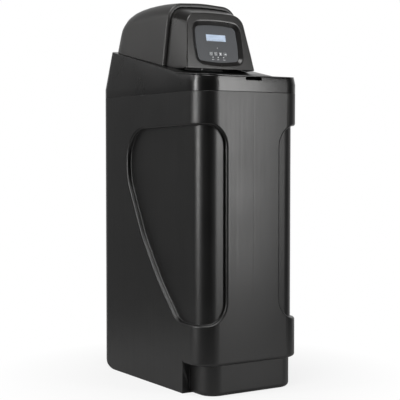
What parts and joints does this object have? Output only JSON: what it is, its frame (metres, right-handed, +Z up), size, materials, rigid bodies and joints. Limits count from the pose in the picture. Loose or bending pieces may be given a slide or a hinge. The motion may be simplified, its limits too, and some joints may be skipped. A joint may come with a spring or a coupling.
{
  "type": "water softener",
  "caption": "Cabinet water softener: brine cabinet with a lifting salt lid, resin tank, control valve, bypass and brine well under a lift-off hood with a leaning control panel.",
  "frame": {"origin": "middle of the cabinet's depth and width, on the floor it stands on", "axes": "+Z up, +Y towards the water pipes at the back, so the control panel looks along -Y"},
  "size_m": [0.33, 0.574, 1.0582],
  "materials": {
    "cabinet_plastic": "satin, finely grained black moulding",
    "hood_plastic": "satin black moulding",
    "bezel_plastic": "smooth black moulding, faintly glossy",
    "panel_film": "dark blue-grey film",
    "key_plastic": "satin dark grey",
    "display_face": "pale lit liquid crystal display",
    "display_window": "clear",
    "housing_plastic": "matt black",
    "board_laminate": "green solder resist",
    "tank_wrap": "satin blue-grey wound fibreglass",
    "tank_foot": "matt black",
    "resin_beads": "amber beads",
    "valve_plastic": "glass-filled, matt",
    "pipe_plastic": "satin off-white",
    "handle_plastic": "smooth red",
    "clip_steel": "bright spring steel",
    "pin_steel": "drawn steel",
    "seal_rubber": "matt black",
    "gear_plastic": "natural acetal",
    "motor_steel": "zinc-plated can",
    "well_plastic": "white extruded tube",
    "float_plastic": "grey-white moulding",
    "line_tube": "milky polyethylene",
    "grid_plastic": "matt black"
  },
  "bodies": {
    "cabinet": {"cabinet_shell": "cabinet_plastic", "top_cover": "cabinet_plastic", "lid_hinge_pins": "pin_steel", "control_face": "panel_film", "control_box": "housing_plastic", "circuit_board": "board_laminate", "lcd_display": "display_face", "lcd_window": "display_window", "resin_tank": "tank_wrap", "tank_base": "tank_foot", "resin_bed": "resin_beads", "lower_basket": "float_plastic", "riser_tube": "pipe_plastic", "valve_body": "valve_plastic", "seal_stack": "seal_rubber", "injector_cap": "valve_plastic", "drain_elbow": "pipe_plastic", "meter_axle": "pin_steel", "bypass_body": "valve_plastic", "port_clips": "clip_steel", "inlet_tail": "pipe_plastic", "outlet_tail": "pipe_plastic", "coupling_nuts": "valve_plastic", "reduction_axle": "pin_steel", "drive_bracket": "housing_plastic", "drive_motor": "motor_steel", "bracket_screws": "pin_steel", "power_inlet": "housing_plastic", "brine_well": "well_plastic", "float_valve": "float_plastic", "air_check": "float_plastic", "pickup_tube": "line_tube", "brine_line": "line_tube", "salt_grid": "grid_plastic", "overflow_elbow": "valve_plastic", "overflow_nut": "valve_plastic"},
    "lid": {"salt_lid": "cabinet_plastic"},
    "hood": {"hood_dome": "hood_plastic", "hood_bezel": "bezel_plastic"},
    "key_a": {"key_1": "key_plastic"},
    "key_b": {"key_2": "key_plastic"},
    "key_c": {"key_3": "key_plastic"},
    "key_d": {"key_4": "key_plastic"},
    "inlet_handle": {"bypass_handle_inlet": "handle_plastic"},
    "outlet_handle": {"bypass_handle_outlet": "handle_plastic"},
    "main_gear": {"main_drive_gear": "gear_plastic"},
    "step_gear": {"reduction_gear": "gear_plastic"},
    "pinion": {"motor_pinion": "gear_plastic"},
    "piston": {"valve_piston": "gear_plastic", "piston_rod": "pin_steel"},
    "turbine": {"meter_turbine": "gear_plastic"},
    "well_cap": {"brine_well_cap": "well_plastic"},
    "float": {"float_ball": "float_plastic", "float_rod": "line_tube"}
  },
  "joints": [
    {"name": "lid_hinge", "type": "hinge", "parent": "cabinet", "child": "lid", "pos_m": [0, -0.133, 0.84407], "axis": [-1, 0, 0], "range_deg": [0, 95]},
    {"name": "hood_lift", "type": "slide", "parent": "cabinet", "child": "hood", "axis": [0, 0, 1], "range_m": [0, 0.3]},
    {"name": "inlet_handle_turn", "type": "hinge", "parent": "cabinet", "child": "inlet_handle", "pos_m": [-0.04, 0.178, 0.925], "axis": [0, 0, 1], "range_deg": [0, 90]},
    {"name": "outlet_handle_turn", "type": "hinge", "parent": "cabinet", "child": "outlet_handle", "pos_m": [0.04, 0.178, 0.925], "axis": [0, 0, 1], "range_deg": [0, 90]},
    {"name": "main_gear_turn", "type": "hinge", "parent": "cabinet", "child": "main_gear", "pos_m": [0, 0, 0.925], "axis": [0, 1, 0], "range_deg": [0, 360]},
    {"name": "step_gear_turn", "type": "hinge", "parent": "cabinet", "child": "step_gear", "pos_m": [0.03182, 0, 0.89318], "axis": [0, 1, 0], "range_deg": [-1440, 0]},
    {"name": "pinion_turn", "type": "hinge", "parent": "cabinet", "child": "pinion", "pos_m": [0.04807, 0, 0.92133], "axis": [0, 1, 0], "range_deg": [0, 4800]},
    {"name": "piston_slide", "type": "slide", "parent": "cabinet", "child": "piston", "axis": [0, 1, 0], "range_m": [0, 0.024]},
    {"name": "turbine_spin", "type": "hinge", "parent": "cabinet", "child": "turbine", "pos_m": [0.04, 0.126, 0.895], "axis": [0, 1, 0], "continuous": true},
    {"name": "well_cap_lift", "type": "slide", "parent": "cabinet", "child": "well_cap", "axis": [0, 0, 1], "range_m": [0, 0.02]},
    {"name": "float_rise", "type": "slide", "parent": "cabinet", "child": "float", "axis": [0, 0, 1], "range_m": [0, 0.028]},
    {"name": "key_a_press", "type": "slide", "parent": "cabinet", "child": "key_a", "axis": [0, 0.9763, -0.2164], "range_m": [0, 0.0006], "stiffness_N_per_m": 900},
    {"name": "key_b_press", "type": "slide", "parent": "cabinet", "child": "key_b", "axis": [0, 0.9763, -0.2164], "range_m": [0, 0.0006], "stiffness_N_per_m": 900},
    {"name": "key_c_press", "type": "slide", "parent": "cabinet", "child": "key_c", "axis": [0, 0.9763, -0.2164], "range_m": [0, 0.0006], "stiffness_N_per_m": 900},
    {"name": "key_d_press", "type": "slide", "parent": "cabinet", "child": "key_d", "axis": [0, 0.9763, -0.2164], "range_m": [0, 0.0006], "stiffness_N_per_m": 900}
  ],
  "couplings": [
    {"joint": "step_gear_turn", "follows": "main_gear_turn", "ratio": -4},
    {"joint": "pinion_turn", "follows": "main_gear_turn", "ratio": 13.333},
    {"joint": "piston_slide", "follows": "main_gear_turn", "m_per_rad": 0.0038197}
  ]
}
